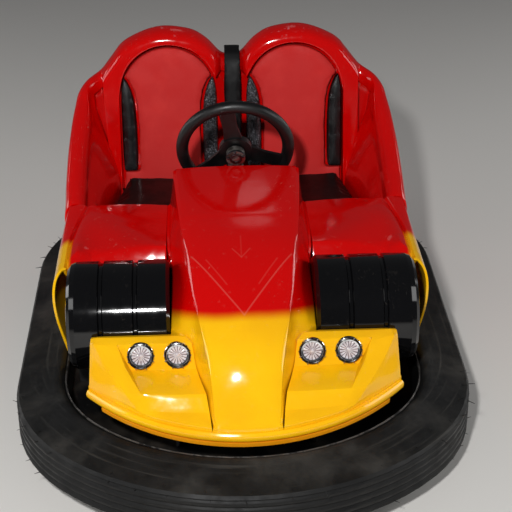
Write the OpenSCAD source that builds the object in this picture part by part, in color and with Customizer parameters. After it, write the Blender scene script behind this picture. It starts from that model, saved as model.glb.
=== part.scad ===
/* [Bumper tyre] */
// Half length of the rubber bumper's outer oval
ring_a = 865; // [800:5:960]
// Half width of the rubber bumper's outer oval
ring_b = 600; // [580:1:640]
// How much larger than the half width the radius of the front and rear arcs is
end_flat = 45; // [40:1:100]
// Radius of the oval's four corner arcs
corner_r = 478; // [430:1:500]
// Height of the bumper's underside over the ground
bumper_z = 60; // [50:1:75]
// Height of the bumper's section
bumper_h = 164; // [150:1:166]
// Depth of the bumper's section, from tread to rim
bumper_w = 128; // [118:1:130]
// Grooves around the tread
tread_grooves = 5; // [3:1:6]

/* [Floor and frame] */
// Thickness of the steel floor plate
floor_t = 5; // [3:0.5:7]
// Height of the floor plate's top over the ground
floor_z = 104; // [100:1:110]
// Side of the square frame tubes under the floor
tube_s = 30; // [25:1:34]
// Half distance between the two long frame tubes
rail_x = 232; // [215:1:250]

/* [Body] */
// Thickness of the moulded body panels
skin_t = 6; // [4:0.5:7]
// Height of the bonnet's rear edge
bonnet_z = 631; // [620:1:640]
// Half width of the bonnet's rear edge
bonnet_w = 175; // [168:1:178]
// Height of the two decks beside the bonnet
deck_z = 509; // [500:1:515]
// Height of the seat humps
hump_z = 878; // [870:1:890]
// Half distance between the two seat humps
hump_x = 190; // [180:1:195]

/* [Dummy front wheels] */
// Radius of the two dummy front wheels
dummy_r = 140; // [130:1:141]
// Width of a dummy front wheel
dummy_w = 262; // [240:1:264]
// Height of their centre over the ground
dummy_z = 398; // [394:1:400]
// Distance of their centre in front of the origin
dummy_y = 338; // [334:1:342]

/* [Lamps] */
// Outer diameter of a lamp's bezel
lamp_d = 70; // [60:1:72]
// Distance of the inner lamps from the centre plane
lamp_x_in = 167; // [160:1:172]
// Distance of the outer lamps from the centre plane
lamp_x_out = 258; // [250:1:264]

/* [Steering] */
// Outer diameter of the steering wheel
wheel_d = 330; // [300:1:345]
// Diameter of the steering wheel's rim tube
grip_d = 34; // [30:1:38]
// Lean of the steering wheel's plane from upright
wheel_lean = 19; // [15:1:22]
// Turn of the spokes at rest
spoke_turn = 20; // [10:1:30]

/* [Road wheels] */
// Diameter of the three road wheels
road_d = 200; // [196:1:204]
// Width of a road wheel
road_w = 50; // [44:1:56]
// Distance of the drive unit's pivot in front of the origin
drive_y = 330; // [320:1:338]
// Distance of the rear wheels behind the origin
rear_y = 430; // [415:1:440]
// Half track of the rear wheels
rear_x = 330; // [325:1:338]

/* [Seats] */
// Height of the seat cushions' tops over the ground
cushion_z = 440; // [430:1:445]
// Thickness of a seat cushion
cushion_t = 66; // [50:1:70]
// Distance of the seat box's front wall behind the origin
box_front = 198; // [170:1:200]
// Lean of the seat backs from upright
back_lean = 7; // [6:0.5:8]

/* [Hidden] */
$fn = 72;
// Seam that is left between neighbouring panels
seam = 0.3;
// Radial play of a shaft in its bore
play = 0.1;

// Oval plan of the bumper: end arc centre, corner arc centre and the angle where they meet
end_r = ring_b + end_flat;
end_cy = ring_a - end_r;
corner_cx = ring_b - corner_r;
corner_cy = end_cy + sqrt(pow(end_r - corner_r, 2) - pow(corner_cx, 2));
meet_a = atan2(corner_cy - end_cy, corner_cx);
corner_steps = 8;
end_steps = 9;
quarter = concat([for (k = [0 : corner_steps]) meet_a * k / corner_steps],
                 [for (k = [1 : end_steps]) meet_a + (90 - meet_a) * k / end_steps]);
quarter_n = len(quarter);
// Stations once around, as side signs and the angle of the outward normal
stations = concat([for (k = [0 : quarter_n - 1]) [1, 1, quarter[k]]],
                  [for (k = [quarter_n - 2 : -1 : 0]) [-1, 1, quarter[k]]],
                  [for (k = [0 : quarter_n - 1]) [-1, -1, quarter[k]]],
                  [for (k = [quarter_n - 2 : -1 : 0]) [1, -1, quarter[k]]]);
function oval(s, inset) =
    s[2] <= meet_a
        ? [s[0] * (corner_cx + (corner_r - inset) * cos(s[2])),
           s[1] * (corner_cy + (corner_r - inset) * sin(s[2]))]
        : [s[0] * (end_r - inset) * cos(s[2]), s[1] * (end_cy + (end_r - inset) * sin(s[2]))];

// Derived heights and places
bumper_top = bumper_z + bumper_h;
floor_low = floor_z - floor_t;
hem_z = bumper_top - 8;
rim_t = 5;
hem_x = ring_b - bumper_w - rim_t - 5;
deck_rear = 92;
deck_front = -dummy_y + dummy_r + 2.5;
bonnet_foot = bonnet_w + 9;
dummy_x = bonnet_foot + seam + dummy_w / 2;
hub_c = [0, 110, 667];
drive_c = [0, -drive_y, road_d / 2];
bay_r = 182;

function unit(v) = v / norm(v);
function mix(a, b, t) = a + (b - a) * t;
function grid_normal(g, i, j) =
    let (m = len(g) - 1, n = len(g[0]) - 1)
    unit(cross(g[min(i + 1, m)][j] - g[max(i - 1, 0)][j],
               g[i][min(j + 1, n)] - g[i][max(j - 1, 0)]));

// Two triangles of the square whose corners are a, b, c, d
function two(a, b, c, d) = [[a, b, c], [a, c, d]];

// Moulded panel: a grid of points on its outer face, made t thick on the inner side
module panel(g, t = skin_t) {
    m = len(g);
    n = len(g[0]);
    k = m * n;
    outer = [for (i = [0 : m - 1]) for (j = [0 : n - 1]) g[i][j]];
    inner = [for (i = [0 : m - 1]) for (j = [0 : n - 1]) g[i][j] - t * grid_normal(g, i, j)];
    skin = [for (i = [0 : m - 2]) for (j = [0 : n - 2])
            for (f = two(i * n + j, i * n + j + 1, (i + 1) * n + j + 1, (i + 1) * n + j)) f];
    back = [for (f = skin) [f[0] + k, f[2] + k, f[1] + k]];
    sides = [for (i = [0 : m - 2]) for (f = concat(
                two(i * n, (i + 1) * n, (i + 1) * n + k, i * n + k),
                two((i + 2) * n - 1, (i + 1) * n - 1, (i + 1) * n - 1 + k, (i + 2) * n - 1 + k))) f];
    last = (m - 1) * n;
    ends = [for (j = [0 : n - 2]) for (f = concat(
                two(j + 1, j, j + k, j + 1 + k),
                two(last + j, last + j + 1, last + j + 1 + k, last + j + k))) f];
    polyhedron(concat(outer, inner), concat(skin, back, sides, ends));
}

// Ring swept around the oval; the profile's columns are inset from the tread and height
module oval_ring(profile) {
    m = len(stations);
    n = len(profile);
    pts = [for (s = stations) for (p = profile) let (q = oval(s, p[0])) [q[0], q[1], p[1]]];
    faces = [for (i = [0 : m - 1]) for (j = [0 : n - 1])
             let (i2 = (i + 1) % m, j2 = (j + 1) % n)
             for (f = two(i * n + j, i * n + j2, i2 * n + j2, i2 * n + j)) f];
    polyhedron(pts, faces);
}

module oval_plate(inset) {
    polygon([for (s = stations) oval(s, inset)]);
}

// Rubber bumper: ribbed tread, a sloping upper wall, a raised ridge and a bead at the rim
tread_low = bumper_z + 28;
tread_high = bumper_top - 38;
pitch = (tread_high - tread_low) / tread_grooves;
groove_d = 5;
tread = [for (i = [0 : tread_grooves - 1])
         for (p = [[0.5, 0], [0, pitch * 0.55], [groove_d, pitch * 0.65], [groove_d, pitch * 0.92]])
         [p[0], tread_low + i * pitch + p[1]]];
bumper_profile = concat(
    [[bumper_w - 2, bumper_z + 14], [bumper_w - 22, bumper_z], [26, bumper_z + 10]],
    tread,
    [[1, tread_high], [7, tread_high + 8], [24, tread_high + 12], [bumper_w - 28, bumper_top - 5],
     [bumper_w - 16, bumper_top], [bumper_w - 6, bumper_top - 3], [bumper_w, bumper_top - 12],
     [bumper_w, bumper_z + 22]]);

module bumper_tyre() {
    color([0.06, 0.06, 0.06]) oval_ring(bumper_profile);
}

// Steel band inside the bumper, with a rolled upper edge
module bumper_rim() {
    in = bumper_w + seam;
    color([0.08, 0.08, 0.08])
        oval_ring([[in + rim_t, floor_low], [in, floor_low], [in, bumper_top - 14],
                   [in + 0.5, bumper_top - 9], [in + 4, bumper_top - 7],
                   [in + rim_t + 2, bumper_top - 12], [in + rim_t, bumper_top - 18]]);
}

slot_x = road_w + 34;
slot_y = road_d + 34;
module floor_pan() {
    color([0.1, 0.1, 0.1])
    translate([0, 0, floor_low]) linear_extrude(floor_t)
        difference() {
            oval_plate(bumper_w + seam + rim_t);
            translate([0, -drive_y]) circle(bay_r + 4);
            for (s = [-1, 1]) {
                translate([s * rear_x - slot_x / 2, rear_y - slot_y / 2]) square([slot_x, slot_y]);
                translate([s * (rear_x - 50) - 46, rear_y - block_y / 2 - 3]) square([92, block_y + 6]);
            }
        }
}

// Frame under the floor: two rails, cross tubes with rear axle carriers
rail_front = -605;
rail_rear = 620;
axle_d = 24;
tow_d = 14;
frame_z = floor_low - tube_s;
cross_y = [-590, -120, 180, 590];
module frame_rails() {
    color([0.13, 0.13, 0.14]) for (s = [-1, 1])
        translate([s * rail_x - tube_s / 2, rail_front, frame_z])
            cube([tube_s, rail_rear - rail_front, tube_s]);
}
module frame_cross() {
    in = rail_x - tube_s / 2 - seam;
    color([0.13, 0.13, 0.14]) difference() {
        union() {
            for (y = cross_y) translate([-in, y - tube_s / 2, frame_z]) cube([2 * in, tube_s, tube_s]);
            for (s = [-1, 1]) for (y = [-90, 300])
                translate([s > 0 ? in + tube_s + 2 * seam : 8 - hem_x, y - tube_s / 2, frame_z])
                    cube([hem_x - 8 - in - tube_s - 2 * seam, tube_s, tube_s]);
        }
        for (y = [cross_y[0], cross_y[3]])
            translate([0, y, frame_z - 1]) cylinder(d = tow_d, h = tube_s + 2);
    }
}

// Rear stub axles, each in a block on the outer side of a rail
axle_end = rear_x + road_w / 2 + 12;
block_w = 26;
block_y = 54;
block_x = rail_x + tube_s / 2 + seam;
block_top = 132;
module rear_axle() {
    color([0.3, 0.3, 0.32]) for (s = [-1, 1]) {
        translate([s * (block_x + block_w / 2) - block_w / 2, rear_y - block_y / 2, floor_low - tube_s])
            cube([block_w, block_y, block_top - floor_low + tube_s]);
        translate([s * block_x, rear_y, road_d / 2]) rotate([0, s * 90, 0])
            cylinder(d = axle_d, h = axle_end - block_x);
    }
}

module road_tyre(w) {
    r = road_d / 2;
    rotate([0, 90, 0]) rotate_extrude()
        polygon([[r - 34, -w / 2 + 2], [r - 10, -w / 2], [r - 3, -w / 2 + 5], [r, -w / 2 + 14],
                 [r, w / 2 - 14], [r - 3, w / 2 - 5], [r - 10, w / 2], [r - 34, w / 2 - 2]]);
}

module road_hub(w, bore) {
    r = road_d / 2 - 34 - seam / 2;
    rotate([0, 90, 0]) rotate_extrude()
        polygon([[bore / 2, -w / 2 - 6], [bore / 2 + 12, -w / 2 - 6], [bore / 2 + 14, -8], [r - 10, -8],
                 [r - 6, -w / 2 + 2], [r, -w / 2 + 2], [r, w / 2 - 2], [r - 6, w / 2 - 2], [r - 10, 8],
                 [bore / 2 + 14, 8], [bore / 2 + 12, w / 2 + 6], [bore / 2, w / 2 + 6]]);
}

module rear_tyre_left() {
    color([0.07, 0.07, 0.07]) translate([-rear_x, rear_y, road_d / 2]) road_tyre(road_w);
}
module rear_tyre_right() {
    color([0.07, 0.07, 0.07]) translate([rear_x, rear_y, road_d / 2]) road_tyre(road_w);
}
module rear_hub_left() {
    color([0.45, 0.45, 0.47]) translate([-rear_x, rear_y, road_d / 2]) road_hub(road_w, axle_d + 2 * play);
}
module rear_hub_right() {
    color([0.45, 0.45, 0.47]) translate([rear_x, rear_y, road_d / 2]) road_hub(road_w, axle_d + 2 * play);
}

// Drive unit: a turning plate with a fork that carries the driven wheel and its motor
fork_in = road_w / 2 + 11;
fork_t = 10;
plate_z = 222;
plate_t = 8;
pin_d = 20;
motor_d = 104;
motor_l = 84;
module drive_fork() {
    color([0.2, 0.2, 0.21]) translate([0, -drive_y, 0]) {
        translate([0, 0, plate_z]) cylinder(r = 112, h = plate_t);
        translate([0, 0, plate_z + plate_t]) cylinder(d = 60, h = 36);
        for (s = [-1, 1])
            translate([s * (fork_in + fork_t / 2) - fork_t / 2, -34, 70]) cube([fork_t, 68, plate_z - 70]);
        translate([-fork_in - fork_t - 8, 0, road_d / 2]) rotate([0, 90, 0])
            cylinder(d = pin_d, h = 2 * (fork_in + fork_t) + 8);
    }
}
module drive_motor() {
    color([0.16, 0.17, 0.18])
        translate([fork_in + fork_t + seam, -drive_y, road_d / 2 + 48]) rotate([0, 90, 0]) difference() {
            cylinder(d = motor_d, h = motor_l);
            translate([0, 0, motor_l - 6]) cylinder(d = motor_d - 30, h = 7);
        }
}
module drive_tyre() {
    color([0.07, 0.07, 0.07]) translate(drive_c) road_tyre(road_w);
}
module drive_hub() {
    color([0.45, 0.45, 0.47]) translate(drive_c) road_hub(road_w, pin_d + 2 * play);
}

// Fixed bearing box over the drive unit, with the lower gear head of the steering
box_x = 172;
box_y = 190;
box_z = plate_z + plate_t + 8;
module drive_mount() {
    color([0.12, 0.12, 0.13]) translate([0, -drive_y, 0])
        difference() {
            union() {
                translate([-box_x - 8, -box_y, box_z]) cube([2 * box_x + 16, 2 * box_y, 6]);
                for (s = [-1, 1])
                    translate([s * (box_x + 4) - 4, -box_y, floor_z]) cube([8, 2 * box_y, box_z - floor_z]);
                translate([-box_x - 8, box_y - 6, floor_z]) cube([2 * box_x + 16, 6, box_z - floor_z]);
                translate([0, 0, box_z + 6]) cylinder(d = 92, h = 24);
            }
            translate([0, 0, box_z - 1]) cylinder(d = 60 + 2 * play, h = 33);
        }
}
module gear_head() {
    color([0.15, 0.15, 0.16]) difference() {
        translate([0, -drive_y, box_z + 30 + seam]) {
            cylinder(d = 84, h = 42);
            translate([-32, -24, 38]) cube([64, 66, 52]);
        }
        jacket_tube(jacket_d + 2 * seam);
    }
}

// Steering column: a jacket tube up to a post behind the bonnet's rear edge, with the wheel's socket
jacket_low = [0, -drive_y + 20, 330];
jacket_high = [0, 88, 556];
jacket_d = 42;
shaft_d = 18;
post_w = 42;
module jacket_tube(d) {
    way = jacket_high - jacket_low;
    translate(jacket_low) rotate([-atan2(way[1], way[2]), 0, 0]) cylinder(d = d, h = norm(way));
}
module column_jacket() {
    color([0.09, 0.09, 0.09]) difference() {
        union() {
            jacket_tube(jacket_d);
            translate([-post_w / 2, 0, 0]) rotate([90, 0, 90]) linear_extrude(post_w)
                polygon([[78.5, 536], [100, 536], [94, 560], [94, 636], [86, 660], [78.5, 660]]);
            in_wheel() translate([0, 0, -46]) cylinder(d = 52, h = 24.7);
        }
        in_wheel() translate([0, 0, -42]) cylinder(d = shaft_d + 2 * play, h = 30);
    }
}

// Steering wheel in its own frame: the axis points at the driver
module in_wheel() {
    translate(hub_c) rotate([-90 + wheel_lean, 0, 0]) children();
}
module steering_wheel() {
    r = wheel_d / 2 - grip_d / 2;
    color([0.05, 0.05, 0.05]) in_wheel() {
        rotate_extrude($fn = 96) translate([r, 0]) circle(d = grip_d, $fn = 32);
        for (a = [0, 120, 240]) rotate([0, 0, a + spoke_turn])
            translate([0, 0, -11]) linear_extrude(9)
                polygon([[30, -27], [80, -20], [r - 4, -22], [r - 4, 22], [80, 20], [30, 27]]);
        translate([0, 0, -16]) cylinder(d = 92, h = 18);
        translate([0, 0, -40]) cylinder(d = shaft_d, h = 40);
        translate([0, 0, 2]) cylinder(d1 = 78, d2 = 60, h = 8);
    }
}

// Bonnet: columns are y, top z, half width of the top, half width of the foot, foot z, hem z, and how much of
// the foot turns out as a fillet onto the deck
bonnet_rows = [
    [76, bonnet_z - 22, bonnet_w - 6, bonnet_foot, 509, 474, 1],
    [74, bonnet_z - 4, bonnet_w - 2, bonnet_foot, 509, 474, 1],
    [68, bonnet_z, bonnet_w, bonnet_foot, 509, 474, 1],
    [-60, bonnet_z - 12, 167, bonnet_foot, 508, 474, 1],
    [-160, bonnet_z - 25, 159, bonnet_foot, 503, 470, 1],
    [-182, bonnet_z - 28, 157, bonnet_foot, 492, 462, 0.6],
    [-195, bonnet_z - 31, 156, bonnet_foot, 484, 455, 0],
    [-230, bonnet_z - 36, 152, bonnet_foot, 470, 300, 0],
    [-290, bonnet_z - 47, 146, bonnet_foot, 455, 275, 0],
    [-380, bonnet_z - 69, 135, bonnet_foot, 435, 275, 0],
    [-455, bonnet_z - 96, 124, bonnet_w + 8, 415, 300, 0],
    [-490, bonnet_z - 110, 118, 146, 412, 385, 0],
    [-530, bonnet_z - 127, 111, 122, 372, 330, 0],
    [-590, bonnet_z - 163, 98, 106, 332, 312, 0],
    [-640, bonnet_z - 206, 88, 96, 312, 290, 0],
    [-680, bonnet_z - 263, 82, 88, 296, 276, 0],
    [-702, bonnet_z - 319, 80, 85, 288, 281, 0]];
// Share of the half width where the bonnet's crease runs, and how far the edge lies below the middle
crease = [[0.55, 6], [0.55, 6], [0.55, 6], [0.58, 6], [0.62, 6], [0.66, 6], [0.67, 6], [0.7, 6],
          [0.8, 7], [0.86, 8], [0.5, 15], [0.3, 17], [0.12, 18], [0.3, 14], [0.45, 10], [0.5, 6],
          [0.5, 3]];
// Where the last row stands on the lip
bonnet_end = [0, 40, 68, 74, 76, 78, 80, 82, 84];
fillet = 11;
function on_lip(x, up) = [x, lip_y(x) + 3, lip_z(x) + up];
function bow(x) = x * x / 1044;
function bonnet_row(i) =
    let (r = bonnet_rows[i], c = crease[i], w = r[2], nose = r[0] < -600 ? 1 : 0, z = r[1], f = r[6] * fillet,
         half = [[0, z], [c[0] * w, z - 0.2 * c[1]], [w - 9, z - c[1]], [w, z - c[1] - 7],
                 [mix(w, r[3], 0.5) - 1, mix(z - c[1] - 7, r[4], 0.5) + f], [r[3] - 0.5, r[4] + 5 + f * 1.6],
                 [r[3] + f * 0.3, r[4] + f * 0.5], [r[3] + f, mix(r[5], r[4], r[6] > 0 ? 1 : 0.7)],
                 [r[3] + f, r[5]]])
    [for (s = [-1, 1]) for (k = s < 0 ? [8 : -1 : 0] : [1 : 8])
     [s * half[k][0], r[0] + nose * bow(half[k][0]), half[k][1]]];
module bonnet() {
    rows = [for (i = [0 : len(bonnet_rows) - 1]) bonnet_row(i)];
    ends = [for (up = [9, -0.7]) [for (k = [-8 : 8]) on_lip(sign(k) * bonnet_end[abs(k)], up)]];
    color([0.75, 0.02, 0.02]) panel(concat(rows, ends));
}

// Deck and side of one hand, from the dummy wheel to the seats. Across: x, crown over deck_z, y of the crease
// from which the deck falls forward, and share of the rear flange's depth
deck_lines = [[bonnet_foot + fillet + 2 * seam, -3, -165, 1], [214, -3, -165, 1], [240, 0, -160, 1],
              [290, 2, -116, 1], [346, 3, -68, 1], [396, 0, -26, 1]];
// Along: y and drop of the rounded ends
deck_along = [[deck_front - 1, 62, 1], [deck_front, 50, 1], [deck_front + 8, 32, 1], [-170, 8, 1],
              [-163, 2, 1], [-152, 0, 1], [-112, 0, 1], [-66, 0, 1], [-26, 0, 1], [14, -2, 1],
              [54, -1, 1], [deck_rear, 1, 1], [97, 9, 0], [98.4, 34, 0]];
deck_fall = 0.2;
// Side lines: x and z at the front, x and z at the seats, how far the front edge runs ahead, and the share
// of the front drop
side_lines = [[432, 499, 410, 507, 8, 0.9], [448, 491, 418, 503, 20, 0.6], [458, 480, 422, 503, 36, 0.3],
              [463, 488, 428, 509, 46, 0], [473, 485, 448, 511, 54, 0], [484, 474, 472, 505, 64, 0],
              [492, 455, 486, 470, 78, 0], [496, 415, 489, 415, 90, 0], [489, 350, 487, 350, 90, 0],
              [477, 288, 478, 288, 72, 0], [hem_x, hem_z, hem_x, hem_z, 60, 0]];
function deck_row(i) =
    let (a = deck_along[i], t = max(0, (deck_rear - a[0]) / (deck_rear - deck_front + 1)),
         front = i == 0 ? 1 : 0,
         w = pow(min(1, max(0, (a[0] + 70) / 160)), 1.5))
    concat([for (l = deck_lines) [-l[0], a[0], deck_z + l[1] - deck_fall * max(0, l[2] - a[0])
                                               - a[1] * (a[2] > 0 ? 1 : l[3])]],
           [for (l = side_lines)
            [front * 6 - mix(l[0], l[2], w), a[0] - l[4] * t, mix(l[1], l[3], w) - a[2] * a[1] * l[5]]]);
module deck_left() {
    color([0.75, 0.02, 0.02]) panel([for (i = [0 : len(deck_along) - 1]) deck_row(i)]);
}
module deck_right() {
    mirror([1, 0, 0]) deck_left();
}

// Nose of one hand: rows run from the ledge at the dummy wheel down to the lip, columns outwards
lip_r = 522;
lip_front = -720;
function lip_y(x) = lip_front + lip_r - sqrt(lip_r * lip_r - x * x);
function lip_z(x) = 276 + 26 * pow(x / 390, 2);
ledge_y = -dummy_y - dummy_r - 1.5;
nose_x = [87, 150, 222, 236, 262, 391];
nose_rows = [
    [[bonnet_w + 11, ledge_y, 416], [200, ledge_y, 416], [318, ledge_y, 416], [322, ledge_y, 416],
     [364, ledge_y, 416], [380, ledge_y, 414]],
    [[147, -497, 421], [200, -496, 421], [318, -496, 421], [322, -496, 421], [366, -494, 421], [382, -490, 416]],
    [[131, -519, 413], [200, -519, 413], [316, -519, 413], [321, -521, 413], [374, -512, 412], [384, -501, 407]],
    [[122, -537, 347], [190, -537, 347], [284, -534, 348], [296, -561, 373], [349, -549, 375],
     [386, -514, 366]],
    [[98.5, -634, 336], [170, -634, 336], [248, -629, 336], [256, -630, 337], [293, -622, 330],
     [388, -541, 328]],
    [[91.5, -666, 303], [163, -662, 302], [245, -650, 302], [260, -645, 302], [274, -637, 304], [389, -543, 309]],
    [for (x = nose_x) on_lip(x, 9)],
    [for (x = nose_x) on_lip(x, -0.7)]];
module nose_half() {
    panel(nose_rows);
}
module nose_right() {
    color([1, 0.62, 0]) nose_half();
}
module nose_left() {
    color([1, 0.62, 0]) mirror([1, 0, 0]) nose_half();
}

// Rolled lip along the foot of the nose, and the apron strip below it
lip_steps = 12;
lip_x = 392;
function sweep_front(profile, x_end) =
    [for (k = [-lip_steps : lip_steps])
     let (x = x_end * sin(k / lip_steps * 90), n = unit([x, lip_y(x) - lip_front - lip_r]))
     [for (p = profile) [x + n[0] * p[0], lip_y(x) + n[1] * p[0], lip_z(x) + p[1]]]];
module lip_bar(profile, x_end) {
    g = sweep_front(profile, x_end);
    m = len(g);
    n = len(profile);
    mid = [for (k = [0, m - 1]) [for (a = [0 : 2]) [for (p = g[k]) p[a]] * [for (p = g[k]) 1] / n]];
    faces = concat(
        [for (i = [0 : m - 2]) for (j = [0 : n - 1]) let (j2 = (j + 1) % n)
         for (f = two(i * n + j, (i + 1) * n + j, (i + 1) * n + j2, i * n + j2)) f],
        [for (j = [0 : n - 1]) [m * n, j, (j + 1) % n]],
        [for (j = [0 : n - 1]) [m * n + 1, (m - 1) * n + (j + 1) % n, (m - 1) * n + j]]);
    polyhedron(concat([for (r = g) for (p = r) p], mid), faces);
}
module nose_lip() {
    color([1, 0.62, 0])
        lip_bar([[-14, -1], [2, -1], [7, -7], [8, -15], [5, -22], [-2, -25], [-14, -25]], lip_x);
}
module nose_apron() {
    color([1, 0.55, 0])
        lip_bar([[-12, -25.3], [-5, -25.3], [-5, -28], [2, -28], [0, -40], [-12, -40]], lip_x - 34);
}

// Dummy front wheel: a closed moulding with two grooves and a shallow dished side
groove_w = 7;
module dummy_wheel(s) {
    r = dummy_r;
    h = dummy_w / 2;
    g = dummy_w / 6;
    color([0.03, 0.03, 0.03]) translate([s * dummy_x, -dummy_y, dummy_z]) rotate([0, s * 90, 0])
        rotate_extrude($fn = 96)
            polygon([[0, -h], [r - 8, -h], [r, -h + 9], [r, -g - groove_w], [r - 6, -g - groove_w / 2],
                     [r - 6, -g + groove_w / 2], [r, -g + groove_w], [r, g - groove_w],
                     [r - 6, g - groove_w / 2], [r - 6, g + groove_w / 2], [r, g + groove_w], [r - 1, h - 22],
                     [r - 6, h - 10], [r - 16, h - 2], [r - 26, h], [r - 44, h - 3], [r - 50, h - 16],
                     [36, h - 20], [30, h - 8], [0, h - 6]]);
}
module dummy_wheel_left() {
    dummy_wheel(-1);
}
module dummy_wheel_right() {
    dummy_wheel(1);
}

// Heights and places of the seats
box_top = cushion_z - cushion_t - seam;
back_y = 504;
back_base = cushion_z + seam;
arch_r = 146;
arch_c = 242;
arch_in = hump_x - arch_r;
waist_z = 540;

// Seat shell: columns are hem x, hem y, shell x, shell y, outward angle, crest z, inner offset, foot x, foot y,
// and whether a smooth row is added after this one
shell_rows = [[462, 99, 487, 99, 0, 512, 60, 394, 99, 0], [462, 188, 490, 188, 0, 545, 62, 386, 188, 0],
              [462, 193, 490, 193, 0, 547, 62, 386, 193, 1],
              [462, 260, 490, 260, 2, 577, 62, 377, 260, 1],
              [461, 335, 488, 335, 5, 614, 62, 366, 335, 1],
              [448, 425, 481, 425, 12, 661, 60, 348, 425, 1],
              [428, 473, 474, 475, 22, 686, 54, 345, 444, 1],
              [413, 507, 468, 505, 32, 708, 48, 345, 447, 0],
              [395, 532, 457, 530, 44, 720, 46, 346, 449, 0],
              [379, 553, 441, 552, 58, 731, 50, 346, 451, 0],
              [363, 571, 417, 571, 72, 739, 54, 346, 452, 0],
              [349, 586, 396, 584, 84, 748, 60, 346, 453, 0],
              [343, 591, 385, 588, 90, 757, 68, 345, 455, 1],
              [304, 624, hump_x + 150, 594, 90, 815, 68, 341, 457, 0],
              [300, 628, hump_x + 148, 595, 90, 818, 68, 338, 500, 0],
              [296, 631, hump_x + 144, 596, 90, 822, 68, 334, 500, 1],
              [282, 640, hump_x + 128, 597, 90, 836, 68, 318, 500, 1],
              [262, 652, hump_x + 103, 598, 90, 850, 68, 293, 500, 1],
              [236, 668, hump_x + 60, 600, 90, 868, 68, 250, 500, 1],
              [190, 688, hump_x + 5, 602, 90, hump_z, 68, 195, 500, 1],
              [118, 712, hump_x - 67, 602, 90, 867, 68, 123, 500, 1],
              [86, 718, hump_x - 100, 601, 90, 851, 68, 90, 500, 1],
              [62, 722, hump_x - 128, 599, 90, 829, 68, 62, 500, 0],
              [47, 723, hump_x - 143, 598, 90, 811, 68, 47, 500, 0],
              [30, 725, 30, 596, 90, 792, 68, 30, 500, 1], [0, 726, 0, 596, 90, 786, 68, 0, 500, 0]];
// Plane just behind the back pads
function plane_y(z) = back_y + seam + (z - back_base) * tan(back_lean);
rim_d = 44;
rim_gap = 11;
tip_h = 42;
rib_in = hump_x + 149;
foot_z = cushion_z + 6;
shell_low = box_top + seam + 2.5;
// Edge of the back pad at this place across
function pad_edge(x) =
    back_base + rim_gap
    + cos(back_lean) * (arch_c + sqrt(max(x < hump_x ? tip_h * tip_h : 0, arch_r * arch_r - pow(x - hump_x, 2))));
// Inner side below the crest, four points: wing, groove beside the rib, rib, rim round the pad or dip
// between them
function inner_side(r, zc, in, o, shell) =
    r[4] < 50 ? let (low = r[1] < 190 ? floor_z + seam : shell_low, f = [r[7], r[8]], top = shell - o * in)
                [[top, zc - 46], [mix(top, f, 0.15), mix(zc - 54, foot_z, 0.15)], [f, foot_z], [f, low]]
    : r[4] < 88 ? let (x = shell[0] - o[0] * 30)
                  [[shell - o * in, zc - 46], [[x, plane_y(zc - 54)], zc - 54],
                   [[mix(x, r[7], 0.3), mix(plane_y(waist_z), r[8], 0.2)], waist_z], [[r[7], r[8]], shell_low]]
    : shell[0] > rib_in ? let (z = pad_edge(shell[0]))
                          concat([for (h = [z, z - 3, waist_z]) [[shell[0], plane_y(h) - rim_d], h]],
                                 [[[r[7], r[8] - 8], shell_low]])
    : shell[0] > arch_in ? let (z = pad_edge(shell[0]))
                      concat([[[shell[0], plane_y(z) - rim_d], z]],
                             [for (h = [z - 3, waist_z, shell_low]) [[shell[0], plane_y(h)], h]])
    : [[shell - o * in, zc - 46], each [for (z = [zc - 54, waist_z, shell_low]) [[shell[0], plane_y(z)], z]]];
// Columns up the outside, over the crest and down the inside
function shell_row(r, s) =
    let (zc = r[5], o = [cos(r[4]), sin(r[4])], shell = [r[2], r[3]], hem = [r[0], r[1]], zt = zc - hem_z,
         rim = r[4] > 88 && shell[0] > arch_in,
         in = rim ? shell[1] - plane_y(zc - 29) + rim_d : r[6], top = min(34, in * 0.7),
         cols = concat(
             [for (c = [[0, 0], [0.35, 0.25], [0.8, 0.6]]) [mix(hem, shell, c[0]) + o * 30 * c[0] * (1 - c[0]),
                                                          hem_z + zt * c[1]]],
             [[shell + o * 2, hem_z + zt * 0.84], [shell - o * 1, zc - 26], [shell - o * 8, zc - 11],
              [shell - o * 0.6 * top, zc - 2], [shell - o * top, zc], [shell - o * mix(in, top, 0.5), zc - 4],
              [shell - o * mix(in, top, 0.15), zc - 14], [shell - o * in, zc - 29]],
             inner_side(r, zc, in, o, shell)))
    [for (c = cols) [s * c[0][0], c[0][1], c[1]]];
// Smooth run through the rows, with a new row between two of them
function between(r, i) =
    let (n = len(r) - 1, a = r[max(i - 1, 0)], b = r[i], c = r[i + 1], d = r[min(i + 2, n)])
    (9 * b + 9 * c - a - d) / 16;
function doubled(r) =
    [for (i = [0 : len(r) - 1]) for (q = r[i][9] > 0.5 ? [r[i], between(r, i)] : [r[i]]) q];
shell_fine = doubled(shell_rows);
shell_n = len(shell_fine);
module seat_shell() {
    color([0.75, 0.02, 0.02])
        panel(concat([for (k = [0 : shell_n - 1]) shell_row(shell_fine[k], 1)],
                     [for (k = [shell_n - 2 : -1 : 0]) shell_row(shell_fine[k], -1)]));
}

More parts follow.
